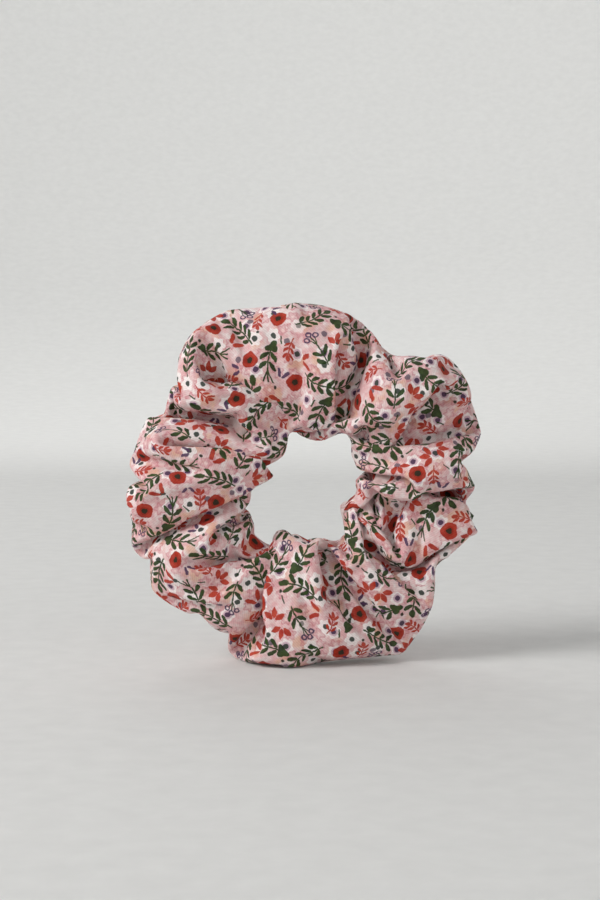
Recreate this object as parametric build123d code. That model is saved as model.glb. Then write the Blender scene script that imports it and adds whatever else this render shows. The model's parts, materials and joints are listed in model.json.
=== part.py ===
"""Scrunchie: a gathered cloth tube closed into a ring round a sewn loop of flat elastic.

Millimetres. +Z is up, +X runs across the ring and +Y from its front to its back.
The ring stands on its lower edge, with the origin below its middle at table height.
The cover's outline is a ring of puffs and pinches, so it is made as sections round the loop.
The loop stretches across X, so the cover is two half rings that meet at the middle plane.
"""

import os
from math import cos, degrees, radians, sin, sqrt

from build123d import *

# The ring
RING_HEIGHT = 58.0  # middle of the hair opening above the table
COVER_WALL = 1.0  # gathered cotton, about three layers deep
HALF_GAP = 0.1  # each half ring stops this far short of the middle plane
PUFF_DEPTH = 18.5  # half the cover's depth where it puffs out
PINCH_DEPTH = 13.5  # half its depth between two puffs
SEAM_DEPTH = 6.5  # half its depth where its ends are sewn flat together
MIDDLE_DEPTH = 17.0

# The elastic and the sewing
ELASTIC_RADIUS = 25.5
ELASTIC_WIDTH = 6.0
ELASTIC_THICKNESS = 1.2
ELASTIC_LAP = 34.0  # degrees that its two ends overlap
LAP_ANGLE = 180.0  # where round the ring they overlap
LAP_CLEARANCE = 0.05
THREAD = 0.35
ZIGZAG_LEGS = 6
SIDE_SEAM_INSET = 2.4  # of the side seam's thread from the inside of the cloth
STITCH_LENGTH = 2.2
STITCH_PITCH = 3.0
CLOSING_SEAM_ANGLE = -14.0

# Sections of the cover: angle round the ring, outer radius, inner radius, half depth
TOP = (90, 56.0, 15.8, MIDDLE_DEPTH)
BOTTOM = (270, 58.6, 13.0, MIDDLE_DEPTH)
HELD_SECTIONS = [
    TOP,
    (106, 59.0, 17.6, PUFF_DEPTH),
    (121, 61.0, 15.8, PUFF_DEPTH),
    (136, 58.0, 14.0, PUFF_DEPTH),
    (151, 51.5, 13.2, PINCH_DEPTH),
    (164, 56.6, 14.6, PUFF_DEPTH),
    (181, 57.0, 16.4, PUFF_DEPTH),
    (197, 59.4, 18.0, PUFF_DEPTH),
    (214, 59.4, 19.4, PUFF_DEPTH),
    (231, 53.0, 19.4, PINCH_DEPTH),
    (246, 60.0, 17.4, PUFF_DEPTH),
    (258, 60.4, 15.0, PUFF_DEPTH),
    BOTTOM,
]
PULLED_SECTIONS = [
    (BOTTOM[0] - 360, *BOTTOM[1:]),
    (-74, 61.5, 17.4, PUFF_DEPTH),
    (-58, 66.0, 20.8, PUFF_DEPTH),
    (-30, 55.0, 17.6, PINCH_DEPTH),
    (CLOSING_SEAM_ANGLE, 57.6, 14.8, SEAM_DEPTH),
    (-1, 55.4, 15.2, PINCH_DEPTH),
    (14, 58.4, 15.8, PUFF_DEPTH),
    (29, 59.6, 16.8, PUFF_DEPTH),
    (44, 58.4, 17.2, PUFF_DEPTH),
    (60, 50.8, 16.6, PINCH_DEPTH),
    (75, 53.8, 15.2, MIDDLE_DEPTH),
    TOP,
]


def ring_point(angle, radius, depth=0.0):
    """A point at that angle and radius round the ring, depth behind its middle plane."""
    turn = radians(angle)
    return Vector(radius * cos(turn), depth, RING_HEIGHT + radius * sin(turn))


def section(angle, outer, inner, half_depth, inset):
    """One oval section of the cover, made smaller all round by inset."""
    turn = radians(angle)
    plane = Plane(
        origin=ring_point(angle, (outer + inner) / 2),
        x_dir=(cos(turn), 0, sin(turn)),
        z_dir=(-sin(turn), 0, cos(turn)),
    )
    return plane * Ellipse((outer - inner) / 2 - inset, half_depth - inset)


def above(height):
    """All the space above that height, to cut a flat foot with."""
    size = 400.0
    return Pos(0, 0, height + size / 2) * Box(size, size, size)


def puffs(sections):
    """The sections as one list for each puff. Neighbours share the pinch between them."""
    groups = [[sections[0]]]
    for one in sections[1:]:
        groups[-1].append(one)
        if one[3] == PINCH_DEPTH:
            groups.append([one])
    return groups


def tube(sections, inset):
    """The solid inside the sections, smooth along each puff and creased at each pinch."""
    whole = None
    for group in puffs(sections):
        puff = loft([section(*one, inset) for one in group])
        whole = puff if whole is None else whole + puff
    return whole


def half_cover(sections, side):
    """A hollow half ring of gathered cloth, on the side of +X or -X that side names."""
    outside = tube(sections, 0.0) & above(0.0)
    hollow = tube(sections, COVER_WALL) & above(COVER_WALL)
    size = 400.0
    keep = Pos(side * (size / 2 + HALF_GAP), 0, 0) * Box(size, size, size)
    return (outside - hollow) & keep


def elastic_band():
    """A strip of elastic that winds just over one turn, so that its ends overlap."""
    turns = 360.0 + ELASTIC_LAP
    start = LAP_ANGLE - ELASTIC_LAP / 2
    rise = (ELASTIC_THICKNESS + LAP_CLEARANCE) * turns / 360.0
    steps = 24

    def edge(offset):
        points = []
        for i in range(steps + 1):
            share = i / steps
            radius = ELASTIC_RADIUS + rise * (share - 0.5) + offset
            points.append(ring_point(start + turns * share, radius, -ELASTIC_WIDTH / 2))
        return Spline(*points)

    inside, outside = edge(-ELASTIC_THICKNESS / 2), edge(ELASTIC_THICKNESS / 2)
    ends = [Line(inside @ 0, outside @ 0), Line(inside @ 1, outside @ 1)]
    return extrude(make_face([inside, outside, *ends]), amount=ELASTIC_WIDTH, dir=(0, 1, 0))


def strand(start, end):
    """A straight length of thread with rounded ends."""
    along = end - start
    body = Plane(origin=start, z_dir=along) * Cylinder(
        THREAD / 2, along.length, align=(Align.CENTER, Align.CENTER, Align.MIN)
    )
    return body + Pos(*start) * Sphere(THREAD / 2) + Pos(*end) * Sphere(THREAD / 2)


def elastic_join_thread():
    """A zigzag of thread on both faces of the overlap, with a leg through it at each turn."""
    reach = ELASTIC_THICKNESS + LAP_CLEARANCE
    half_lap = ELASTIC_LAP * 0.36
    half_width = ELASTIC_WIDTH * 0.32
    outer, inner = [], []
    for i in range(ZIGZAG_LEGS + 1):
        angle = LAP_ANGLE - half_lap + 2 * half_lap * i / ZIGZAG_LEGS
        depth = half_width if i % 2 else -half_width
        outer.append(ring_point(angle, ELASTIC_RADIUS + reach, depth))
        inner.append(ring_point(angle, ELASTIC_RADIUS - reach, depth))
    pieces = [strand(a, b) for a, b in zip(outer, outer[1:])]
    pieces += [strand(a, b) for a, b in zip(inner, inner[1:])]
    pieces += [strand(a, b) for a, b in zip(outer, inner)]
    whole = pieces[0]
    for piece in pieces[1:]:
        whole += piece
    return whole


def between(sections, angle):
    """The cover's outer radius, inner radius and half depth at an angle between sections."""
    for near, far in zip(sections, sections[1:]):
        low, high = sorted((near[0], far[0]))
        if low <= angle <= high:
            share = (angle - near[0]) / (far[0] - near[0])
            return [a + share * (b - a) for a, b in zip(near[1:], far[1:])]


def side_seam_thread(sections):
    """Stitches along the tube's seam over one half ring, behind the cloth nearest the opening."""
    inset = COVER_WALL + SIDE_SEAM_INSET

    def seam_point(angle):
        _, inner, _ = between(sections, angle)
        return ring_point(angle, inner + inset)

    first, last = sorted((sections[0][0], sections[-1][0]))
    mean_radius = sum(s[2] for s in sections) / len(sections) + inset
    pitch = degrees(STITCH_PITCH / mean_radius)
    count = int((last - first) / pitch)
    stitches = []
    for i in range(count):
        start = first + (last - first - count * pitch) / 2 + (i + 0.15) * pitch
        near, far = seam_point(start), seam_point(start + pitch * STITCH_LENGTH / STITCH_PITCH)
        along = far - near
        stitches.append(
            Plane(origin=(near + far) * 0.5, z_dir=along) * Cylinder(THREAD / 2, along.length)
        )
    return Compound(children=stitches)


def closing_seam_thread():
    """Rows of stitches, front and back, where the ends of the tube are sewn flat together."""
    _, outer, inner, half_depth = next(s for s in PULLED_SECTIONS if s[0] == CLOSING_SEAM_ANGLE)
    middle, half_width = (outer + inner) / 2, (outer - inner) / 2
    count = int(1.7 * half_width / STITCH_PITCH)

    def on_cloth(radius, side):
        depth = half_depth * sqrt(1 - ((radius - middle) / half_width) ** 2)
        return ring_point(CLOSING_SEAM_ANGLE, radius, side * (depth + THREAD / 4))

    stitches = []
    for side in (-1, 1):
        for i in range(count):
            centre = middle + (i - (count - 1) / 2) * STITCH_PITCH
            near, far = centre - STITCH_LENGTH / 2, centre + STITCH_LENGTH / 2
            stitches.append(strand(on_cloth(near, side), on_cloth(far, side)))
    return Compound(children=stitches)


def main():
    nodes = {
        "cover_held_half": half_cover(HELD_SECTIONS, -1),
        "cover_pulled_half": half_cover(PULLED_SECTIONS, 1),
        "elastic_band": elastic_band(),
        "elastic_join_thread": elastic_join_thread(),
        "side_seam_held_half": side_seam_thread(HELD_SECTIONS),
        "side_seam_pulled_half": side_seam_thread(PULLED_SECTIONS),
        "closing_seam_thread": closing_seam_thread(),
    }
    held = nodes["cover_held_half"].bounding_box()
    pulled = nodes["cover_pulled_half"].bounding_box()
    shift = -(held.min.X + pulled.max.X) / 2
    print("sideways shift to the middle of the outline", round(shift, 4))
    os.makedirs("parts", exist_ok=True)
    for name, shape in nodes.items():
        export_step(Pos(shift, 0, 0) * shape, f"parts/{name}.step")


main()
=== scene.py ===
"""Looks for the scrunchie: printed cotton gathered over a loop of braided elastic.

The cloth is simulated here. A short, thin tube of cloth is laid round the elastic and grows to its
real size inside a mould, while air pressure fills it, so that what doesn't fit has to fold.
Lengths in the cloth's own sections are in millimetres from the middle of the ring.
Blender's objects are in metres, in the frame's own axes.
"""

import json
import math

import bpy
import numpy as np
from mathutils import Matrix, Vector


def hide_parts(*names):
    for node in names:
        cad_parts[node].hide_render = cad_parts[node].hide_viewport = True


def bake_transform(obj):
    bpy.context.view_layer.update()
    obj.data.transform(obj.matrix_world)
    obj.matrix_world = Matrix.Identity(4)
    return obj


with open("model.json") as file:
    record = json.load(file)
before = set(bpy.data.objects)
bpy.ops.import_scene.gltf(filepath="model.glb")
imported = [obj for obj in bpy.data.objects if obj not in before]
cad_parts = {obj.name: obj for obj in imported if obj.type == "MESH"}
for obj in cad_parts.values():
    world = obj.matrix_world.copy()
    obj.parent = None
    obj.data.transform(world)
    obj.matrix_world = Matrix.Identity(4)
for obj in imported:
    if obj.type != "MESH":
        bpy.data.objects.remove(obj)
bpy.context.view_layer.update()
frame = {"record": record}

MM = 0.001

# The ring, from the frame
HAIR_LOOP = next(m for m in frame["record"]["mounts"] if m["name"] == "hair_loop")
RING_MIDDLE = np.array(HAIR_LOOP["pos_m"]) / MM
FLOOR = -RING_MIDDLE[2]
FLOOR_GAP = 0.4  # that the simulation leaves under the cloth
STANDING_GAP = 0.03  # that is left under it when it's done

# The cloth, finished: length round the ring and round the tube
CLOTH_LENGTH = 500.0
CLOTH_ROUND = 112.0
CLOTH_THICKNESS = 0.35
SEAM_ANGLE = -14.0  # of the closing seam, round the ring from +X
SEAM_MIDDLE = np.array([24.5, 0.0, -7.0])
SEAM_CORNERS = ((11.5, 0, -6.5), (56.5, 0, -10.5))  # nearest the hole, and outermost
FLAT_CLOTH = "flat cloth"  # the UV map with each point's place on the flat cloth

# The sewing
HEM = 4.5
HEM_HEIGHT = 0.45
TOPSTITCH_INSET = 1.7
THREAD = 0.35
STITCH_LENGTH = 2.3
STITCH_PITCH = 3.0

# The elastic
ELASTIC_RADIUS = 25.5
ELASTIC_WIDTH = 6.0
ELASTIC_THICKNESS = 1.1
ELASTIC_LAP = 34.0  # degrees that its ends overlap
ELASTIC_ROOM = (2.4, 4.4)  # kept free each way from its middle: out from the ring, and front to back
LAP_ANGLE = 180.0

# The mould's lobes: corners (x, z), depth of the middle, half depth, rounding
LOBES = {
    "top_left": (
        [(-16, 14), (-45, 22), (-44, 36), (-36, 49), (-26, 56), (-12, 57), (-5, 27)],
        -1, 17, 15,
    ),
    "top": (
        [
            (-7, 20), (-14, 56.5), (-2, 58.5), (10, 57), (20, 51),
            (27, 42), (22, 32), (13, 20), (9.5, 14), (0, 14),
        ],
        1, 17, 14,
    ),
    "top_right": (
        [(12, 18), (15, 14), (30, 15), (57, 15), (54, 28), (50, 37), (44, 42), (22, 41.5), (18, 33)],
        -2.5, 18, 11,
    ),
    "right": (
        [(15, 14), (30, 17), (57, 16), (57.5, 7), (54, -4), (46, -8), (18, -6), (14.5, 4)],
        0, 18, 13,
    ),
    "seam": (
        [
            (11, -6.5), (18, -3), (47, -4), (57.5, -10), (56, -15),
            (48, -25), (29, -25), (18, -20), (12.5, -11),
        ],
        0, 9, 6,
    ),
    "bottom_right": (
        [
            (8, -21), (12.5, -12), (24, -15), (43, -24), (42, -37),
            (36, -53), (33, -62), (22, -62), (16, -40),
        ],
        2, 17, 9,
    ),
    "bottom": (
        [
            (-12, -21), (-9, -14), (-1, -12.5), (7, -18), (16, -32),
            (27, -50), (30, -62), (-2, -62), (-14, -60), (-15, -38),
        ],
        -1, 16, 9,
    ),
    "bottom_left": (
        [
            (-24, -24), (-12, -20), (-7, -29), (-9, -50), (-13, -62),
            (-22, -61), (-29, -49), (-35, -39), (-33, -34),
        ],
        -3, 16, 9,
    ),
    "lower_left": (
        [
            (-17, -2), (-16, -15), (-21, -25), (-34, -41.5), (-41, -42.5),
            (-51, -33), (-56, -20), (-57, -5), (-45, -1),
        ],
        0, 18, 14,
    ),
    "left": (
        [
            (-50, 22.5), (-34, 21), (-22, 19), (-17, 5), (-16, -4),
            (-36, -11), (-56, -10), (-57.5, -5), (-56.5, 10),
        ],
        -2, 17.5, 12,
    ),
    "inner_left": (
        [(-26, 22), (-14, 19), (-5, 18), (-6, 9), (-11, 1), (-15, 0), (-20, 5)],
        -4, 11, 5,
    ),
}
# Places that the cloth is pulled out to: the corners of the outline, then bulges into the hole
CORNERS = [
    (-39, 0, 47),
    (-24, 0, 56),
    (-14, 0, 57),
    (-2, 1, 58),
    (47, -2, 41),
    (57, 0, 17),
    (-51, -2, 22),
    (-56.5, 0, 6),
    (-56.5, 0, -20),
    (-50, 0, -36),
    (-37, -3, -42),
    (-20, 0, -58),
    (33, -2, -57),
    (38, -2, -46),
    (-9.5, -4, 3),
    (-7, -5, -13),
    (5, -3, 14),
    (14, -3, 12),
    (12.5, -3, -8),
]
# Knives that press creases into the mould from the front or the back: line (x, z), half width, depth
CREASES = [
    ([(-33, 39), (-20, 28), (-8, 20)], 1.1, -7),
    ([(-49, 23.5), (-34, 22.5), (-22, 20.5)], 1.2, -3),
    ([(-22, 20), (-15, 10), (-11, 3)], 1.0, -5),
    ([(-3, 48), (-1, 36), (-3, 22)], 1.2, -9),
    ([(20, 44), (15, 32), (12, 20)], 1.2, -3),
    ([(46, 40), (42, 30), (36, 22), (26, 18), (16, 15.5)], 1.2, -5),
    ([(30, 14.5), (42, 15.5)], 1.2, -7),
    ([(18, -4), (26, -7.5), (37, -8)], 1.0, -3),
    ([(18, -5), (22.5, -11), (30, -16)], 1.0, -4),
    ([(19, -19), (30, -23), (44, -25.5)], 1.2, -3),
    ([(8, -22), (14, -31), (22, -41), (30, -53)], 1.2, -6),
    ([(-3, -18), (-1, -27), (1, -40), (3, -50)], 1.1, -6),
    ([(5, -20), (8, -34), (12, -50)], 1.1, -7),
    ([(-7, -24), (-11, -36), (-15, -50)], 1.1, -6),
    ([(-17, -18), (-25, -29), (-35, -40)], 1.2, -3),
    ([(-50, -4), (-39, -2.5), (-29, 0)], 1.1, -9),
    ([(-37, -11), (-29, -8), (-18, -3)], 1.1, -9),
]


# ---------------------------------------------------------------- the mould
def line_distance(x, z, points):
    """Distance from points to a line of straight runs."""
    nearest = np.full(x.shape, 1e9)
    for (ax, az), (bx, bz) in zip(points, points[1:]):
        ex, ez = bx - ax, bz - az
        wx, wz = x - ax, z - az
        share = np.clip((wx * ex + wz * ez) / (ex * ex + ez * ez), 0, 1)
        nearest = np.minimum(nearest, (wx - ex * share) ** 2 + (wz - ez * share) ** 2)
    return np.sqrt(nearest)


def polygon_distance(x, z, corners):
    """Signed distance from points to a polygon's edge, negative inside."""
    closed = corners + corners[:1]
    inside = np.zeros(x.shape, bool)
    for (ax, az), (bx, bz) in zip(closed, closed[1:]):
        if az != bz:
            inside ^= ((az <= z) != (bz <= z)) & (x < ax + (z - az) * (bx - ax) / (bz - az))
    return np.where(inside, -1, 1) * line_distance(x, z, closed)


class Mould:
    """How far outside the scrunchie's general shape a point is, and which way that grows."""

    def __init__(self, blunt=0.0, half_size=66, half_depth=26):
        side = np.arange(-half_size, half_size + 1.0)
        depth = np.arange(-half_depth, half_depth + 1.0)
        x, z = np.meshgrid(side, side, indexing="ij")
        y = depth[None, :, None]
        field = np.full((len(side), len(depth), len(side)), 1e3)
        for corners, middle, half, rounding in LOBES.values():
            across = polygon_distance(x, z, corners)[:, None, :] + rounding
            along = np.abs(y - middle) - (half - rounding)
            lobe = np.minimum(np.maximum(across, along), 0) - rounding
            field = np.minimum(field, lobe + np.hypot(np.maximum(across, 0), np.maximum(along, 0)))
        for points, half_width, reach in CREASES:
            across = half_width + blunt - line_distance(x, z, points)[:, None, :]
            field = np.maximum(field, np.minimum(across, math.copysign(1, reach) * (y - reach)))
        for axis in range(3):
            field = 0.5 * field + 0.25 * (np.roll(field, 1, axis) + np.roll(field, -1, axis))
        table = np.stack([field, *np.gradient(field)], -1).astype(np.float32)
        self.table = table.reshape(-1, 4)
        self.steps = (table.shape[1] * table.shape[2], table.shape[2])
        self.corner = np.array([-half_size, -half_depth, -half_size], np.float32)
        self.last = np.array(field.shape) - 2

    def sample(self, points):
        place = np.clip(points - self.corner, 0, self.last + 0.999).astype(np.float32)
        cell = np.minimum(place.astype(np.int32), self.last)
        part = (place - cell).astype(np.float32)
        fx, fy, fz = part[:, 0:1], part[:, 1:2], part[:, 2:3]
        over_x, over_y = self.steps
        base = cell[:, 0] * over_x + cell[:, 1] * over_y + cell[:, 2]

        def along_x(at):
            return self.table[at] * (1 - fx) + self.table[at + over_x] * fx

        near = along_x(base) * (1 - fz) + along_x(base + 1) * fz
        far = along_x(base + over_y) * (1 - fz) + along_x(base + over_y + 1) * fz
        value = near * (1 - fy) + far * fy
        return value[:, 0], value[:, 1:]


# ---------------------------------------------------------------- the cloth
def lengths(vectors):
    return np.sqrt(np.einsum("...i,...i->...", vectors, vectors))


def hold(a, b, rest, strength, only_push):
    """Moves two sets of points so that each pair is nearer to its distance at rest."""
    gap = b - a
    size = lengths(gap) + np.float32(1e-6)
    change = (size - np.float32(rest)) / size
    if only_push:
        change = np.minimum(change, 0)
    gap *= (np.float32(0.5 * strength) * change)[..., None]
    a += gap
    b -= gap


def hold_straight(grid, axis, step, rest, strength, only_push=False):
    """Holds each point and the one that many steps on, in two sets that share no point."""
    rows, columns = grid.shape[:2]
    for _ in range(2):
        if axis == 0:
            blocks = grid.reshape(rows // (2 * step), 2, step, columns, 3)
            hold(blocks[:, 0], blocks[:, 1], rest, strength, only_push)
        else:
            blocks = grid.reshape(rows, columns // (2 * step), 2, step, 3)
            hold(blocks[:, :, 0], blocks[:, :, 1], rest, strength, only_push)
        grid[:] = np.roll(grid, -step, axis)
    grid[:] = np.roll(grid, 2 * step, axis)


def hold_diagonal(grid, shift, rest, strength):
    """Holds each point and the one a step on and a step to the side, against shear."""
    for _ in range(2):
        moved = np.roll(grid[1::2], -shift, 1)
        hold(grid[0::2], moved, rest, strength, False)
        grid[1::2] = np.roll(moved, shift, 1)
        grid[:] = np.roll(grid, -1, 0)
    grid[:] = np.roll(grid, 2, 0)


def near_pairs(points, reach, rows, columns):
    """Pairs of points nearer than reach that aren't close neighbours in the cloth."""
    cell = np.floor(points / np.float32(reach)).astype(np.int32)
    cell -= cell.min(0) - 1
    size = cell.max(0) + 2
    key = (cell[:, 0] * size[1] + cell[:, 1]) * size[2] + cell[:, 2]
    order = np.argsort(key, kind="stable")
    key, placed = key[order], points[order]
    every = np.arange(len(points))
    first, second = [], []
    for dx, dy in ((0, 0), (0, 1), (1, -1), (1, 0), (1, 1)):
        base = key + (dx * size[1] + dy) * size[2]
        low = every + 1 if dx == dy == 0 else np.searchsorted(key, base - 1, "left")
        high = np.searchsorted(key, base + 1, "right")
        left = every
        taken = 0
        while True:
            left = left[(high - low)[left] > taken]
            if not len(left):
                break
            other = low[left] + taken
            gap = placed[other] - placed[left]
            close = np.einsum("ij,ij->i", gap, gap) < reach * reach
            first.append(order[left[close]])
            second.append(order[other[close]])
            taken += 1
    first, second = np.concatenate(first), np.concatenate(second)
    along = np.abs(first // columns - second // columns)
    around = np.abs(first % columns - second % columns)
    along = np.minimum(along, rows - along)
    around = np.minimum(around, columns - around)
    apart = (along > 2) | (around > 2)
    return first[apart], second[apart]


def push_apart(points, first, second, distance):
    """Keeps the cloth from passing through itself."""
    gap = points[second] - points[first]
    size = lengths(gap) + 1e-6
    close = size < distance
    first, second = first[close], second[close]
    move = (0.5 * (distance - size[close]) / size[close])[:, None] * gap[close]
    count = len(points)
    met = np.bincount(first, minlength=count) + np.bincount(second, minlength=count)
    met = np.sqrt(np.maximum(met, 1))
    for axis in range(3):
        pushed = np.bincount(second, move[:, axis], count) - np.bincount(first, move[:, axis], count)
        points[:, axis] += (pushed / met).astype(np.float32)


def keep_round_elastic(grid):
    """Keeps the cloth off the flat elastic inside it, and each point on its own side of it."""
    columns = grid.shape[1]
    points = grid.reshape(-1, 3)
    radius = np.hypot(points[:, 0], points[:, 2])
    outward = (radius - ELASTIC_RADIUS) / ELASTIC_ROOM[0]
    sideways = points[:, 1] / ELASTIC_ROOM[1]
    share = np.hypot(outward, sideways)
    near = np.nonzero(share < 1)[0]
    home = (near % columns) / columns * 2 * math.pi
    pull = 2 * (1 - share[near])
    outward = outward[near] - pull * np.cos(home)
    sideways = sideways[near] + pull * np.sin(home)
    share = np.maximum(np.hypot(outward, sideways), 0.01)
    new_radius = ELASTIC_RADIUS + outward / share * ELASTIC_ROOM[0]
    points[near, 0] *= new_radius / radius[near]
    points[near, 2] *= new_radius / radius[near]
    points[near, 1] = sideways / share * ELASTIC_ROOM[1]


def outward_normals(grid):
    along = np.roll(grid, -1, 0) - np.roll(grid, 1, 0)
    around = np.roll(grid, -1, 1) - np.roll(grid, 1, 1)
    normal = np.cross(along, around)
    return normal / (lengths(normal)[..., None] + np.float32(1e-6))


def flatten_seam(grid, size):
    """The tube's ends are sewn together flat, so its corners stand out of the gathers."""
    half = grid.shape[1] // 2
    grid[0, :, 1] *= np.float32(0.8)
    for column, corner in ((0, SEAM_CORNERS[0]), (half, SEAM_CORNERS[1])):
        place = SEAM_MIDDLE + size * (np.array(corner) - SEAM_MIDDLE)
        grid[0, column] += np.float32(0.3) * (place - grid[0, column]).astype(np.float32)


def pull_corners(points, pull):
    """Pulls the nearest cloth out towards each corner, by no more than pull."""
    for corner in CORNERS:
        gap = np.array(corner, np.float32) - points
        away = lengths(gap)
        share = np.clip(1 - (away - away.min()) / 2.5, 0, 1)
        reach = np.minimum(0.25 * away, pull) / (away + 1e-6)
        points += (share * reach).astype(np.float32)[:, None] * gap


def grow_cloth(grid, mould, steps, start_size, pressure, pull=0.0):
    """Grows the cloth from a share of its size to all of it, and lets it settle."""
    rows, columns = grid.shape[:2]
    along, around = CLOTH_LENGTH / rows, CLOTH_ROUND / columns
    slant = math.hypot(along, around)
    speed = np.zeros_like(grid)
    for step in range(steps):
        size = start_size + (1 - start_size) * min(1, (step + 1) / (0.8 * steps))
        speed += np.float32(pressure) * outward_normals(grid)
        before = grid.copy()
        grid += speed
        points = grid.reshape(-1, 3)
        distance = 0.85 * along * size
        if step % 4 == 0:
            pairs = near_pairs(points, distance * 1.7, rows, columns)
        for _ in range(4):
            hold_straight(grid, 0, 1, along * size, 0.9)
            hold_straight(grid, 1, 1, around * size, 0.9)
            hold_diagonal(grid, 1, slant * size, 0.35)
            hold_diagonal(grid, -1, slant * size, 0.35)
            hold_straight(grid, 0, 2, 1.86 * along * size, 0.6, only_push=True)
            hold_straight(grid, 1, 2, 1.86 * around * size, 0.6, only_push=True)
            hold_straight(grid, 0, 4, 2.2 * along * size, 0.6, only_push=True)
            hold_straight(grid, 1, 4, 2.2 * around * size, 0.6, only_push=True)
            flatten_seam(grid, size)
            keep_round_elastic(grid)
        if pull:
            pull_corners(points, pull)
        push_apart(points, *pairs, distance)
        outside, way_out = mould.sample(points)
        points -= way_out * (0.7 * np.clip(outside, 0, 4))[:, None].astype(np.float32)
        keep_round_elastic(grid)
        points[:, 2] = np.maximum(points[:, 2], np.float32(FLOOR + FLOOR_GAP))
        speed = (grid - before) * np.float32(0.9)
        speed *= np.minimum(1, 0.8 / np.maximum(lengths(speed), 1e-6))[..., None].astype(np.float32)


def thin_tube(rows, columns, middle_radius=30.5, seed=5):
    """The start: a thin tube round the elastic, closing seam first, side seam nearest the hole."""
    turn = math.radians(SEAM_ANGLE) + np.arange(rows) / rows * 2 * math.pi
    round_tube = np.arange(columns) / columns * 2 * math.pi
    turn, round_tube = np.meshgrid(turn, round_tube, indexing="ij")
    tube_radius = CLOTH_ROUND * 0.46 / (2 * math.pi)
    radius = middle_radius - tube_radius * np.cos(round_tube)
    depth = tube_radius * np.sin(round_tube)
    grid = np.stack([radius * np.cos(turn), depth, radius * np.sin(turn)], -1)
    return (grid + np.random.default_rng(seed).normal(0, 0.15, grid.shape)).astype(np.float32)


def finer(grid, rows, columns):
    """The same cloth with more points, on a smooth curve through the old ones."""
    for axis, count in ((0, rows), (1, columns)):
        old = grid.shape[axis]
        place = np.arange(count) * old / count
        cell = np.floor(place).astype(int)
        part = (place - cell).reshape([count if a == axis else 1 for a in range(3)])
        p0, p1, p2, p3 = (np.take(grid, (cell + k) % old, axis) for k in (-1, 0, 1, 2))
        bend = (2 * p0 - 5 * p1 + 4 * p2 - p3) * part + (-p0 + 3 * p1 - 3 * p2 + p3) * part**2
        grid = 0.5 * (2 * p1 + (p2 - p0) * part + bend * part)
    return grid.astype(np.float32)


def round_folds(grid, times=2):
    """Rounds the tightest folds, which are sharper than cotton makes them."""
    for _ in range(times):
        beside = sum(np.roll(grid, step, axis) for step in (-1, 1) for axis in (0, 1))
        grid = grid + np.float32(0.5) * (beside / 4 - grid)
    return grid


def simulate_cover():
    """The finished cloth as a closed grid of points: along the ring, then round the tube."""
    grid = thin_tube(152, 32)
    grow_cloth(grid, Mould(blunt=1.0), steps=480, start_size=0.5, pressure=0.05)
    mould = Mould()
    grid = finer(grid, 304, 64)
    grow_cloth(grid, mould, steps=150, start_size=1.0, pressure=0.015, pull=0.25)
    grid = finer(grid, 456, 96)
    grow_cloth(grid, mould, steps=70, start_size=1.0, pressure=0.0, pull=0.25)
    return round_folds(grid) - np.array([0, 0, FLOOR_GAP - STANDING_GAP], np.float32)


# ---------------------------------------------------------------- meshes
def metres(points):
    """Points in millimetres from the ring's middle, as metres in the frame."""
    return (np.asarray(points, float) + RING_MIDDLE) * MM


def new_piece(name, points, faces, *materials):
    """A smooth piece whose points are in metres."""
    mesh = bpy.data.meshes.new(name)
    mesh.from_pydata(np.asarray(points).tolist(), [], faces)
    mesh.polygons.foreach_set("use_smooth", [True] * len(mesh.polygons))
    for material in materials:
        mesh.materials.append(material)
    piece = bpy.data.objects.new(name, mesh)
    bpy.context.scene.collection.objects.link(piece)
    return piece


def closed_grid_faces(rows, columns, row_wraps=True):
    """Four-cornered faces of a grid that closes round its columns, and along its rows if asked."""
    row, column = np.meshgrid(
        np.arange(rows if row_wraps else rows - 1), np.arange(columns), indexing="ij"
    )
    next_row, next_column = (row + 1) % rows, (column + 1) % columns
    corners = [
        row * columns + column,
        next_row * columns + column,
        next_row * columns + next_column,
        row * columns + next_column,
    ]
    return np.stack(corners, -1).reshape(-1, 4).tolist()


def raise_hem(grid):
    """One end of the tube is folded in and sewn over the other, so it stands out by its hem."""
    raised = np.zeros(grid.shape[0])
    along = CLOTH_LENGTH / grid.shape[0]
    width = int(HEM / along)
    raised[:width] = 1
    raised[width] = 0.5
    return grid + (HEM_HEIGHT * raised)[:, None, None] * outward_normals(grid)


def cover_piece(grid, *materials):
    """The cover cloth. Its UV map is the flat cloth in millimetres, so the print lies on it."""
    rows, columns = grid.shape[:2]
    faces = closed_grid_faces(rows, columns)
    piece = new_piece("cover_cloth", metres(grid.reshape(-1, 3)), faces, *materials)
    row, column = np.divmod(np.arange(rows * columns), columns)
    corner_rows = row[:, None] + np.array([0, 1, 1, 0])
    corner_columns = column[:, None] + np.array([0, 0, 1, 1])
    flat = np.stack(
        [corner_rows * CLOTH_LENGTH / rows, corner_columns * CLOTH_ROUND / columns], -1
    )
    piece.data.uv_layers.new(name=FLAT_CLOTH).data.foreach_set("uv", flat.ravel())
    thicken = piece.modifiers.new("cloth thickness", "SOLIDIFY")
    thicken.thickness = CLOTH_THICKNESS * MM
    thicken.offset = -1
    thicken.material_offset = 1
    return piece


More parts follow.
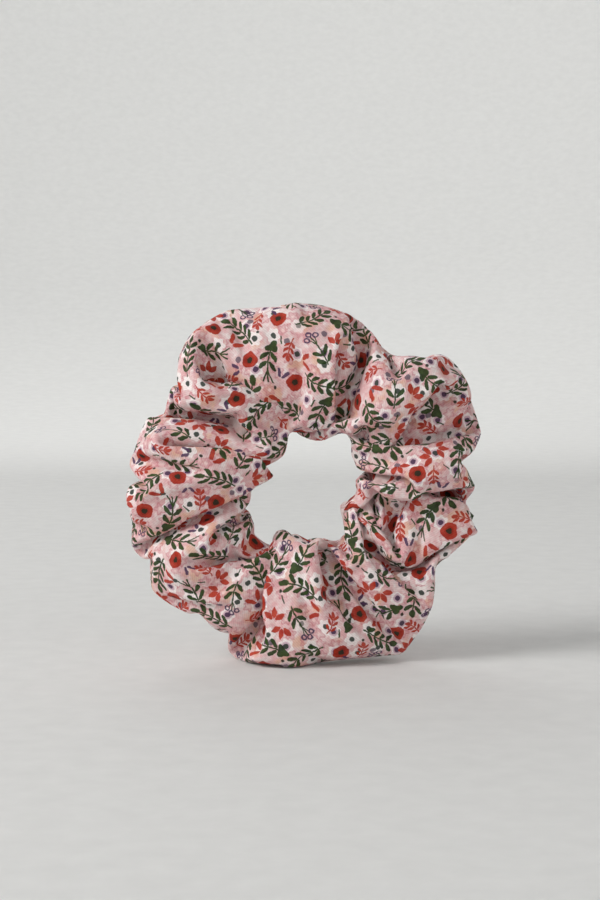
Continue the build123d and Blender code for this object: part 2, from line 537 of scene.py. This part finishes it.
def thread_rings(path, radius, sides, twist):
    """Rings of points round a path, for thread of three twisted plies."""
    path = np.asarray(path, float)
    forward = np.gradient(path, axis=0)
    forward /= lengths(forward)[:, None]
    side = np.cross(forward, (0.31, 0.77, 0.55))
    side /= lengths(side)[:, None]
    up = np.cross(forward, side)
    travel = np.concatenate([[0], np.cumsum(lengths(np.diff(path, axis=0)))])
    turn = np.arange(sides) / sides * 2 * math.pi
    ply = 1 + 0.14 * np.cos(3 * turn[None] + 2 * math.pi * travel[:, None] / twist)
    return (
        path[:, None]
        + radius * (ply * np.cos(turn))[..., None] * side[:, None]
        + radius * (ply * np.sin(turn))[..., None] * up[:, None]
    )


def thread_piece(name, paths, radius, material, sides=8, twist=1.1):
    """A piece made of separate lengths of thread, each closed at its ends."""
    points, faces = [], []
    count = 0
    for path in paths:
        rings = thread_rings(path, radius, sides, twist)
        rows = len(rings)
        points += [rings.reshape(-1, 3), path[:1], path[-1:]]
        for face in closed_grid_faces(rows, sides, row_wraps=False):
            faces.append([count + corner for corner in face])
        first_end, last_end = count + rows * sides, count + rows * sides + 1
        for k in range(sides):
            following = (k + 1) % sides
            faces.append([first_end, count + following, count + k])
            last_ring = count + (rows - 1) * sides
            faces.append([last_end, last_ring + k, last_ring + following])
        count += rows * sides + 2
    return new_piece(name, metres(np.concatenate(points)), faces, material)


def on_cloth(grid, along, around, lift):
    """A point on the cloth, at distances along the ring and round the tube, raised by lift."""
    rows, columns = grid.shape[:2]
    row, column = along / CLOTH_LENGTH * rows, around / CLOTH_ROUND * columns
    i, j = int(math.floor(row)), int(math.floor(column))
    fi, fj = row - i, column - j
    i0, i1, j0, j1 = i % rows, (i + 1) % rows, j % columns, (j + 1) % columns
    point = (grid[i0, j0] * (1 - fj) + grid[i0, j1] * fj) * (1 - fi)
    point = point + (grid[i1, j0] * (1 - fj) + grid[i1, j1] * fj) * fi
    u = grid[i1, j0] - grid[i0, j0]
    v = grid[i0, j1] - grid[i0, j0]
    normal = np.cross(u, v)
    return point + lift * normal / (np.linalg.norm(normal) + 1e-9)


def stitch_paths(grid, total, place, raised):
    """Stitches that dip into the cloth at both ends. place(s) gives along and around."""
    paths = []
    for start in np.arange(0.4, total - STITCH_LENGTH, STITCH_PITCH):
        path = []
        for share in np.linspace(0, 1, 7):
            lift = raised * (1 - (2 * share - 1) ** 4) - 0.5 * raised
            path.append(on_cloth(grid, *place(start + share * STITCH_LENGTH), lift))
        paths.append(np.array(path))
    return paths


def closing_seam_piece(grid, material):
    """Topstitching through the hem, all the way round the tube."""
    paths = stitch_paths(grid, CLOTH_ROUND, lambda s: (TOPSTITCH_INSET, s), 0.22)
    return thread_piece("closing_seam_stitches", paths, THREAD / 2, material)


def side_seam_piece(grid, material):
    """Stitches along the tube's seam, inside the cloth."""
    paths = stitch_paths(grid, CLOTH_LENGTH, lambda s: (s, 0.0), -0.3)
    inset = [path - 0.9 * inward for path, inward in zip(paths, seam_directions(grid, paths))]
    return thread_piece("side_seam_stitches", inset, THREAD / 2, material, sides=6)


def seam_directions(grid, paths):
    """Which way is out of the tube beside each stitch of the side seam."""
    column = grid[:, 0]
    normals = outward_normals(grid)[:, 0]
    for path in paths:
        nearest = np.argmin(lengths(column - path[len(path) // 2]))
        yield normals[nearest]


def elastic_layout():
    """Angle and radius at each step along the elastic, which winds just over one turn."""
    turns = 360 + ELASTIC_LAP
    rise = (ELASTIC_THICKNESS + 0.15) * turns / 360
    share = np.linspace(0, 1, 640)
    angle = np.radians(LAP_ANGLE - ELASTIC_LAP / 2 + turns * share)
    return angle, ELASTIC_RADIUS + rise * (share - 0.5)


def elastic_piece(material):
    """Flat braided elastic with lengthwise ribs and a herringbone of crossing yarns."""
    angle, radius = elastic_layout()
    across = np.linspace(-1, 1, 33)
    rib = np.abs(np.sin(across * math.pi * 4))
    travel = (angle * ELASTIC_RADIUS)[:, None]
    lean = 1.1 * np.abs(((across * 4) % 2) - 1)[None]
    braid = 0.5 + 0.5 * np.cos(2 * math.pi * (travel / 1.3 + lean))
    edge = np.sqrt(np.clip(1 - np.abs(across) ** 8, 0, 1))
    half = ELASTIC_THICKNESS / 2 * edge * (0.62 + 0.2 * rib + 0.18 * rib * braid)
    sides = []
    for face in (1, -1):
        reach = radius[:, None] + face * half
        order = slice(None) if face == 1 else slice(-2, 0, -1)
        points = np.stack(
            [
                reach * np.cos(angle)[:, None],
                np.broadcast_to(across * ELASTIC_WIDTH / 2, reach.shape),
                reach * np.sin(angle)[:, None],
            ],
            -1,
        )
        sides.append(points[:, order])
    rings = np.concatenate(sides, 1)
    rows, columns = rings.shape[:2]
    faces = closed_grid_faces(rows, columns, row_wraps=False)
    faces.append(list(range(columns)))
    faces.append([(rows - 1) * columns + k for k in reversed(range(columns))])
    return new_piece("elastic_braid", metres(rings.reshape(-1, 3)), faces, material)


def elastic_join_piece(material):
    """A zigzag on both faces of the overlap, with a leg through it at each turn."""
    legs, half_lap, half_width = 9, ELASTIC_LAP * 0.36, ELASTIC_WIDTH * 0.34
    reach = ELASTIC_THICKNESS + 0.2
    corners = {1: [], -1: []}
    for i in range(legs + 1):
        angle = math.radians(LAP_ANGLE - half_lap + 2 * half_lap * i / legs)
        for face in corners:
            radius = ELASTIC_RADIUS + face * reach
            depth = half_width if i % 2 else -half_width
            corners[face].append((radius * math.cos(angle), depth, radius * math.sin(angle)))
    paths = []
    for face, points in corners.items():
        for a, b in zip(points, points[1:]):
            paths.append(np.linspace(a, b, 8))
    for a, b in zip(corners[1], corners[-1]):
        paths.append(np.linspace(a, b, 6))
    return thread_piece("elastic_join_stitches", paths, THREAD / 2, material)


# ---------------------------------------------------------------- node arithmetic
class Value:
    """A number at each point of a surface. Arithmetic on it adds nodes, so a pattern is a formula."""

    def __init__(self, tree, socket):
        self.tree = tree
        self.socket = socket

    def make(self, operation, *inputs, clamp=False):
        node = self.tree.nodes.new("ShaderNodeMath")
        node.operation = operation
        node.use_clamp = clamp
        for socket, value in zip(node.inputs, inputs):
            if isinstance(value, Value):
                self.tree.links.new(value.socket, socket)
            else:
                socket.default_value = value
        return Value(self.tree, node.outputs[0])

    def __add__(self, other):
        return self.make("ADD", self, other)

    def __sub__(self, other):
        return self.make("SUBTRACT", self, other)

    def __rsub__(self, other):
        return self.make("SUBTRACT", other, self)

    def __mul__(self, other):
        return self.make("MULTIPLY", self, other)

    def __truediv__(self, other):
        return self.make("DIVIDE", self, other)

    def __abs__(self):
        return self.make("ABSOLUTE", self)

    def least(self, other):
        return self.make("MINIMUM", self, other)

    def most(self, other):
        return self.make("MAXIMUM", self, other)

    def nearest(self):
        return self.make("ROUND", self)

    def cosine(self):
        return self.make("COSINE", self)

    def squared(self):
        return self.make("MULTIPLY", self, self)

    def root(self):
        return self.make("SQRT", self)

    def direction(self, x):
        """The angle of a point whose y is this."""
        return self.make("ARCTAN2", self, x)

    def mask(self, soft=0.14):
        """1 where this is over zero and 0 where it is under, with a soft edge."""
        return self.make("MULTIPLY_ADD", self, 1 / soft, 0.5, clamp=True)


class Paint:
    """Builds one material's colour, layer on layer."""

    def __init__(self, name):
        self.material = bpy.data.materials.new(name)
        self.material.use_nodes = True
        self.tree = self.material.node_tree
        self.shader = self.tree.nodes["Principled BSDF"]

    def node(self, kind, **settings):
        node = self.tree.nodes.new(kind)
        for name, value in settings.items():
            setattr(node, name, value)
        return node

    def value(self, socket):
        return Value(self.tree, socket)

    def link(self, source, target):
        self.tree.links.new(source.socket if isinstance(source, Value) else source, target)

    def noise(self, place, size, detail=2.0, offset=0.0):
        """Cloudy noise with lumps of that size."""
        shifted = self.vector("ADD", place, (offset, offset, offset)) if offset else place
        node = self.node("ShaderNodeTexNoise", noise_dimensions="3D")
        node.inputs["Scale"].default_value = 1 / size
        node.inputs["Detail"].default_value = detail
        self.link(shifted, node.inputs["Vector"])
        return node

    def vector(self, operation, *inputs):
        node = self.node("ShaderNodeVectorMath", operation=operation)
        for socket, value in zip(node.inputs, inputs):
            if isinstance(value, (tuple, list)):
                socket.default_value = value
            else:
                self.link(value, socket)
        return node.outputs["Vector"]

    def parts(self, vector):
        node = self.node("ShaderNodeSeparateXYZ")
        self.link(vector, node.inputs[0])
        return self.value(node.outputs[0]), self.value(node.outputs[1])

    def mix(self, below, above, share):
        """A colour or socket over another. share is a number or a Value."""
        node = self.node("ShaderNodeMix", data_type="RGBA")
        for socket, colour in ((node.inputs[6], below), (node.inputs[7], above)):
            if isinstance(colour, tuple):
                socket.default_value = colour
            else:
                self.link(colour, socket)
        if isinstance(share, Value):
            self.link(share, node.inputs[0])
        else:
            node.inputs[0].default_value = share
        return node.outputs[2]

    def bump(self, height, strength, distance):
        node = self.node("ShaderNodeBump")
        node.inputs["Strength"].default_value = strength
        node.inputs["Distance"].default_value = distance
        self.link(height, node.inputs["Height"])
        self.link(node.outputs[0], self.shader.inputs["Normal"])

    def finish(self, colour, roughness, sheen=0.0):
        self.link(colour, self.shader.inputs["Base Color"])
        self.shader.inputs["Roughness"].default_value = roughness
        self.shader.inputs["Sheen Weight"].default_value = sheen
        self.shader.inputs["Sheen Roughness"].default_value = 0.5
        self.shader.inputs["Specular IOR Level"].default_value = 0.15
        return self.material


def rgb(text):
    """A colour written as six hexadecimal digits, as linear light."""
    channels = [int(text[i : i + 2], 16) / 255 for i in (0, 2, 4)]
    linear = [c / 12.92 if c <= 0.04045 else ((c + 0.055) / 1.055) ** 2.4 for c in channels]
    return (*linear, 1.0)


# ---------------------------------------------------------------- the print
# Each motif lies along x, in millimetres, and gives how far a point is inside it.
def leaf_pairs(x, y, pitch, length, width, first, last):
    """Pairs of leaves that slant forward from a stem, at whole pitches from first to last."""
    side = abs(y)
    slanted = x - side * 0.8
    gap = slanted - (slanted / pitch).nearest() * pitch
    along = (side - length * 0.58) / (length * 0.52)
    leaf = (1 - along.squared().squared()) * (along * 0.18 + 0.82) * (width / 2) - abs(gap)
    reach = (last - first + 1) / 2 * pitch - abs(slanted - (first + last) / 2 * pitch)
    return leaf.least(reach)


def oval(x, y, middle, length, width):
    """An oval on the x axis."""
    size = ((x - middle) / (length / 2)).squared() + (y / (width / 2)).squared()
    return (1 - size) * (width / 4)


def stem(x, y, start, end, half_width=0.22):
    reach = (end - start) / 2 - abs(x - (start + end) / 2)
    return (half_width - abs(y)).least(reach)


def bent(x, y, amount):
    """The y that a curved motif sees, so that its middle line is drawn as a gentle arc."""
    return y - x.squared() * amount + 0.3


def leafy_sprig(x, y):
    y = bent(x, y, 0.03)
    small = leaf_pairs(x, y, 2.0, 1.95, 1.7, -2, 0)
    large = leaf_pairs(x, y, 2.3, 2.3, 1.9, 1, 1)
    shape = small.most(large).most(oval(x, y, 5.2, 2.8, 1.75))
    return {"green": shape.most(stem(x, y, -5.4, 4.4))}


def forked_sprig(x, y):
    y = bent(x, y, 0.035)
    leaves = leaf_pairs(x, y, 2.4, 2.2, 1.8, -1, 0)
    turn = y.direction(x + 3.9)
    radius = (y.squared() + (x + 3.9).squared()).root()
    clover = 1.5 - (turn * 3).cosine() * 0.38 - radius
    twig = (0.25 - abs(abs(y) - (x - 2.4) * 0.5)).least(1.4 - abs(x - 3.8))
    return {"green": leaves.most(clover).most(twig).most(stem(x, y, -3.6, 5.0))}


def berry_sprig(x, y):
    y = bent(x, y, 0.025)
    leaves = leaf_pairs(x, y, 2.2, 2.2, 1.75, -2, -1)
    side = abs(y)

    def ring(middle_x, middle_y):
        away = ((x - middle_x).squared() + (side - middle_y).squared()).root()
        return 0.22 - abs(away - 0.62)

    twigs = (0.16 - abs(side - (x - 0.9) * 0.42)).least(1.2 - abs(x - 2.1))
    return {
        "green": leaves.most(twigs).most(stem(x, y, -5.2, 3.7, 0.2)),
        "purple": ring(4.4, 0.0).most(ring(3.4, 1.4)),
    }


def coral_sprig(x, y):
    y = bent(x, y, 0.05)
    leaves = leaf_pairs(x, y, 1.5, 1.45, 1.2, -1, 1)
    return {"red": leaves.most(oval(x, y, 2.8, 1.8, 1.2)).most(stem(x, y, -2.8, 2.2, 0.18))}


def petal_fan(x, y):
    turn = y.direction(x + 1.4)
    radius = (y.squared() + (x + 1.4).squared()).root()
    spread = math.radians(54)
    off = (turn - (turn / spread).nearest() * spread) * radius
    petal = 0.72 - ((radius - 1.8) * 0.62).squared() - abs(off)
    return {"red": petal.least((math.radians(79) - abs(turn)) * 2)}


def two_petals(x, y):
    side = abs(y)
    off = x - side * 1.1
    return 0.62 - ((side - 1.0) * 0.85).squared() - abs(off) * 0.66


def purple_petals(x, y):
    return {"purple": two_petals(x, y)}


def coral_petals(x, y):
    return {"red": two_petals(x * 0.85, y * 0.85)}


def poppy(x, y):
    turn = y.direction(x)
    radius = (y.squared() + x.squared()).root()
    edge = (turn * 5).cosine() * 0.1 + (turn * 3 + 1.0).cosine() * 0.12
    return {
        "poppy": edge + 2.75 - radius,
        "poppy_shade": edge * 0.7 + 1.55 - radius,
        "dark": edge * 0.4 + 1.0 - radius,
    }


def dash(x, y):
    return {"green": stem(x, y, -1.1, 1.1, 0.2)}


def seed_dot(x, y):
    return {"dark": 0.42 - (y.squared() + x.squared()).root()}


# Motif, how many to a repeat of the print, its scale, then its length and reach at a scale of 1
MOTIFS = [
    (poppy, 5, 1.0, 5.8, 2.9),
    (leafy_sprig, 5, 1.25, 11.4, 2.3),
    (forked_sprig, 3, 1.25, 10.4, 2.1),
    (berry_sprig, 3, 1.2, 10.6, 2.2),
    (coral_sprig, 4, 1.2, 6.0, 1.7),
    (petal_fan, 4, 1.35, 4.2, 2.1),
    (coral_petals, 3, 1.3, 3.4, 1.7),
    (purple_petals, 4, 1.1, 3.0, 1.5),
    (dash, 5, 1.2, 2.2, 0.5),
    (seed_dot, 4, 1.3, 1.0, 0.5),
]
REPEAT = (50.0, 44.0)  # of the print, along the ring and round the tube
MOTIF_GAP = 0.3


def wrapped_distance(points, others):
    """Distance from each point to each other point, across the edges of the repeat too."""
    gap = points[..., None, :] - others
    return lengths(gap - np.round(gap / REPEAT) * REPEAT)


def print_layout(seed=11, rounds=40, tries=200):
    """Places the motifs over one repeat: clear of each other, and apart from their own kind."""
    random = np.random.default_rng(seed)
    taken = np.zeros((0, 3))
    layout = []
    for motif, count, scale, length, reach in MOTIFS:
        alike = np.zeros((0, 2))
        reach *= scale
        along = np.linspace(-1, 1, 5)[:, None] * max(length * scale / 2 - reach, 0)
        for _ in range(count):
            for _ in range(rounds):
                middles = random.random((tries, 2)) * REPEAT
                turns = random.random(tries) * 2 * math.pi
                forward = np.stack([np.cos(turns), np.sin(turns)], -1)
                discs = middles[:, None] + along * forward[:, None]
                room = wrapped_distance(discs, taken[:, :2]) - taken[:, 2] - reach
                spread = wrapped_distance(middles, alike).min(-1, initial=1e3)
                spread[room.min((1, 2), initial=1e3) < MOTIF_GAP] = 0
                best = np.argmax(spread)
                if spread[best] > 0:
                    break
            else:
                continue
            layout.append((motif, scale, middles[best], turns[best]))
            alike = np.vstack([alike, middles[best]])
            taken = np.vstack([taken, np.column_stack([discs[best], np.full(len(along), reach)])])
    return layout


def print_motifs(paint, flat):
    """Every motif of the repeat, joined by colour."""
    shapes = {}
    for motif, scale, middle, turn in print_layout():
        moved = paint.vector("SUBTRACT", flat, (*middle, 0))
        half = (REPEAT[0] / 2, REPEAT[1] / 2, 1)
        wrapped = paint.vector("WRAP", moved, half, tuple(-h for h in half))
        turned = paint.node("ShaderNodeVectorRotate", rotation_type="Z_AXIS")
        turned.inputs["Angle"].default_value = -turn
        paint.link(wrapped, turned.inputs["Vector"])
        place = paint.vector("MULTIPLY", turned.outputs[0], (1 / scale,) * 3)
        for colour, shape in motif(*paint.parts(place)).items():
            shapes[colour] = shapes[colour].most(shape) if colour in shapes else shape
    return shapes


def scattered(paint, flat, pitch, offset):
    """Distance, direction and two random numbers of the nearest of many scattered points."""
    moved = paint.vector("ADD", flat, (offset, offset * 0.6, 0))
    cells = paint.node("ShaderNodeTexVoronoi", voronoi_dimensions="2D", feature="F1")
    cells.inputs["Scale"].default_value = 1 / pitch
    cells.inputs["Randomness"].default_value = 0.75
    paint.link(moved, cells.inputs["Vector"])
    x, y = paint.parts(paint.vector("SUBTRACT", moved, cells.outputs["Position"]))
    turn = y.direction(x)
    chance, other = paint.parts(cells.outputs["Color"])
    return paint.value(cells.outputs["Distance"]) * pitch, turn, chance, other


def print_ground(paint, flat):
    """Watercolour under the motifs: mottled pink, peach, ghost flowers and white daisies."""
    cloud = paint.value(paint.noise(flat, 5.0, 3.0).outputs["Fac"])
    wash = paint.value(paint.noise(flat, 1.6, 3.0, 53.0).outputs["Fac"])
    colour = paint.mix(rgb("efe0de"), rgb("e2b2b3"), (cloud * 0.6 + wash * 0.4 - 0.48).mask(0.2))
    peach = paint.value(paint.noise(flat, 6.5, 2.0, 31.0).outputs["Fac"])
    colour = paint.mix(colour, rgb("e3b08e"), (peach - 0.60).mask(0.1) * 0.6)

    distance, turn, chance, other = scattered(paint, flat, 4.6, 2.0)
    edge = (turn * 5 + other * 6).cosine() * 0.4 + 1.8
    depth = edge - distance
    ghost = depth.mask(0.22) * (chance - 0.3).mask(0.02)
    rim = 1 - (depth - 0.55).mask(0.5) * 0.55
    colour = paint.mix(colour, rgb("cf868d"), ghost * rim * (wash * 1.1 + 0.15))
    heart = (0.55 - distance).mask(0.3) * ghost
    colour = paint.mix(colour, rgb("f1d4d1"), heart * 0.8)

    distance, turn, chance, other = scattered(paint, flat, 7.2, 17.0)
    edge = (turn * 6 + other * 6).cosine() * 0.28 + 2.35
    daisy = (edge - distance).mask(0.25) * (chance - 0.3).mask(0.02)
    colour = paint.mix(colour, rgb("f8efed"), daisy * (wash * 0.6 + 0.6))
    tint = (1.5 - distance).mask(0.3) * (other - 0.5).mask(0.02) * daisy
    colour = paint.mix(colour, rgb("c9a0b2"), tint * 0.75)
    heart = (0.92 - distance).mask(0.18) * daisy
    heart_colour = paint.mix(rgb("2f3c34"), rgb("4b3350"), (other - 0.55).mask(0.02))
    colour = paint.mix(colour, heart_colour, heart * 0.95)

    distance, turn, chance, other = scattered(paint, flat, 10.5, 41.0)
    dot = (1.0 - distance).mask(0.2) * (chance - 0.55).mask(0.02)
    return paint.mix(colour, rgb("6d5f6c"), dot * 0.9)


def weave(paint, flat, pitch=0.5):
    """Plain weave: threads that pass over and under each other, with slubs and a fine rib. Its height
    gives the bump, and the printed cotton's painted shade between threads.
    """
    x, y = paint.parts(flat)
    over = (x * (2 * math.pi / pitch)).cosine() * (y * (2 * math.pi / pitch)).cosine()
    rib = ((x + y * 0.7) * (2 * math.pi / 0.8)).cosine()
    slub = paint.value(paint.noise(flat, 0.7, 1.0, 7.0).outputs["Fac"])
    return over * 0.2 + rib * 0.2 + slub


def flat_cloth(paint):
    """Where a point of the cloth lay when it was flat, in millimetres."""
    return paint.node("ShaderNodeUVMap", uv_map=FLAT_CLOTH).outputs["UV"]


def printed_cotton():
    paint = Paint("printed cotton")
    flat = flat_cloth(paint)
    wobble = paint.vector("SUBTRACT", paint.noise(flat, 1.3, 1.0).outputs["Color"], (0.5, 0.5, 0.5))
    drawn = paint.vector("MULTIPLY_ADD", wobble, (0.7, 0.7, 0), flat)
    colour = print_ground(paint, drawn)
    shapes = print_motifs(paint, drawn)
    worn = paint.value(paint.noise(flat, 2.2, 2.0, 13.0).outputs["Fac"])
    green = paint.mix(rgb("223618"), rgb("385024"), (worn - 0.5).mask(0.3))
    red = paint.mix(rgb("a92c1a"), rgb("bf402a"), (worn - 0.5).mask(0.3))
    poppy_red = paint.mix(rgb("9b2717"), rgb("b43824"), (worn - 0.48).mask(0.3))
    layers = [
        ("green", green, 0.97),
        ("red", red, 0.95),
        ("poppy", poppy_red, 0.97),
        ("poppy_shade", rgb("8e2a1c"), 0.45),
        ("purple", rgb("563d5d"), 0.95),
        ("dark", rgb("2c3024"), 0.95),
    ]
    for name, ink, cover in layers:
        colour = paint.mix(colour, ink, shapes[name].mask(0.16) * cover)
    threads = weave(paint, flat)
    # Painted shade: the print is darkened, down to 0.82, in the hollows between the weave's threads.
    painted_thread_shade = paint.mix((0.82, 0.80, 0.80, 1), (1.0, 1.0, 1.0, 1), (threads - 0.45).mask(0.7))
    tone = paint.node("ShaderNodeMix", data_type="RGBA", blend_type="MULTIPLY")
    tone.inputs[0].default_value = 1.0
    paint.link(colour, tone.inputs[6])
    paint.link(painted_thread_shade, tone.inputs[7])
    paint.bump(threads, 0.35, 0.00012)
    return paint.finish(tone.outputs[2], 0.9, sheen=0.02)


def wrong_side():
    """The back of the print: the same cloth with only a blush of colour come through."""
    paint = Paint("cotton, wrong side")
    flat = flat_cloth(paint)
    cloud = paint.value(paint.noise(flat, 4.0, 3.0).outputs["Fac"])
    colour = paint.mix(rgb("efe3e0"), rgb("d9b9b5"), (cloud - 0.5).mask(0.25))
    threads = weave(paint, flat)
    paint.bump(threads, 0.35, 0.00012)
    return paint.finish(paint.mix(colour, rgb("cdbcb8"), (threads - 0.55).mask(0.5) * 0.3), 0.9)


def object_place(paint):
    """Place on the object in millimetres."""
    place = paint.node("ShaderNodeTexCoord").outputs["Object"]
    return paint.vector("MULTIPLY", place, (1 / MM,) * 3)


def yarn(name, light, dark, sheen):
    """Spun yarn: fine fibres along it, with painted shade between them and an uneven cloudy tone."""
    paint = Paint(name)
    place = object_place(paint)
    fibre = paint.value(paint.noise(place, 0.12, 2.0).outputs["Fac"])
    cloud = paint.value(paint.noise(place, 1.8, 2.0, 5.0).outputs["Fac"])
    # Painted shade between the fibres, where the fibre noise that also makes the bump is low; the
    # cloud is the yarn's own uneven tone.
    colour = paint.mix(rgb(dark), rgb(light), (fibre * 0.6 + cloud * 0.4 - 0.46).mask(0.3))
    paint.bump(fibre, 0.4, 0.00005)
    return paint.finish(colour, 0.7, sheen)


# ---------------------------------------------------------------- stage
def stage_material(name, colour, grain):
    paint = Paint(name)
    place = object_place(paint)
    cloud = paint.value(paint.noise(place, grain, 4.0).outputs["Fac"])
    light, dark = rgb(colour), tuple(0.94 * c for c in rgb(colour)[:3]) + (1.0,)
    paint.bump(cloud, 0.15, 0.0004)
    return paint.finish(paint.mix(dark, light, (cloud - 0.5).mask(0.5)), 0.75)


def backdrop():
    """A pale floor that curves up into a round wall far behind everything."""
    floor_radius, bend, height, around = 1.1, 1.4, 2.2, 96
    profile = [(r, 0.0) for r in (0.0001, 0.2, 0.5, 0.8, floor_radius)]
    for k in range(1, 25):
        turn = k / 24 * math.pi / 2
        profile.append((floor_radius + bend * math.sin(turn), bend * (1 - math.cos(turn))))
    profile.append((floor_radius + bend, height))
    points = []
    for radius, up in profile:
        for k in range(around):
            turn = 2 * math.pi * k / around
            points.append((radius * math.cos(turn), radius * math.sin(turn), up))
    faces = closed_grid_faces(len(profile), around, row_wraps=False)
    new_piece("backdrop", points, faces, stage_material("pale floor", "e2e2e0", 9.0))


def area_light(name, place, aim, size, power, colour=(1, 1, 1), spread=180):
    """A soft light at a place, facing another. Its spread is in degrees."""
    light = bpy.data.lights.new(name, "AREA")
    light.size = size
    light.energy = power
    light.color = colour
    light.spread = math.radians(spread)
    lamp = bpy.data.objects.new(name, light)
    lamp.location = place
    lamp.rotation_euler = (Vector(aim) - lamp.location).to_track_quat("-Z", "Y").to_euler()
    bpy.context.scene.collection.objects.link(lamp)


def lights():
    middle = RING_MIDDLE * MM
    area_light("key", (-1.45, -0.8, 1.2), middle, 0.95, 6.6, (1.0, 0.99, 0.985), spread=90)
    area_light("fill", (0.9, -0.9, 0.5), middle, 0.9, 1.0, (0.97, 0.98, 1.0))
    area_light("back", (-0.3, 1.0, 0.9), middle, 0.8, 2.5)
    for k in range(4):
        turn = k * math.pi / 2
        outward = np.array([math.cos(turn), math.sin(turn), 0])
        place = outward * 0.5 + (0, 0, 1.3)
        area_light(f"wall wash {k + 1}", place, place + outward + (0, 0, 0.1), 1.0, 18.0)
    world = bpy.data.worlds.new("soft room")
    world.use_nodes = True
    world.node_tree.nodes["Background"].inputs["Color"].default_value = (0.96, 0.97, 1.0, 1)
    world.node_tree.nodes["Background"].inputs["Strength"].default_value = 0.24
    bpy.context.scene.world = world
    bpy.context.scene.view_settings.view_transform = "Standard"


def camera():
    """Almost face-on and a little above, with a long lens."""
    distance, elevation = 0.62, math.radians(5.5)
    data = bpy.data.cameras.new("camera")
    data.lens = 77
    data.shift_x = -0.0056
    data.shift_y = 0.0367
    eye = bpy.data.objects.new("camera", data)
    middle = Vector(RING_MIDDLE * MM)
    eye.location = middle + distance * Vector((0, -math.cos(elevation), math.sin(elevation)))
    eye.rotation_euler = (middle - eye.location).to_track_quat("-Z", "Y").to_euler()
    bpy.context.scene.collection.objects.link(eye)
    bpy.context.scene.camera = eye


# ---------------------------------------------------------------- the scrunchie
def stretch_together(piece):
    """Bakes the piece's transform into its points."""
    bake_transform(piece)


camera()
grid = raise_hem(simulate_cover())
white = yarn("white thread", "f4f1ec", "cfc9c0", 0.2)
pink = yarn("pink thread", "eec9c6", "c99795", 0.2)

cover = cover_piece(grid, printed_cotton(), wrong_side())
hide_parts("cover_held_half", "cover_pulled_half")

elastic = elastic_piece(yarn("elastic braid", "f2efe8", "bdb8ae", 0.3))
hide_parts("elastic_band")

elastic_join = elastic_join_piece(white)
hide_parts("elastic_join_thread")

side_seam = side_seam_piece(grid, pink)
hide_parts("side_seam_held_half", "side_seam_pulled_half")

closing_seam = closing_seam_piece(grid, pink)
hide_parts("closing_seam_thread")

for piece in (cover, elastic, elastic_join, side_seam, closing_seam):
    stretch_together(piece)

backdrop()
lights()
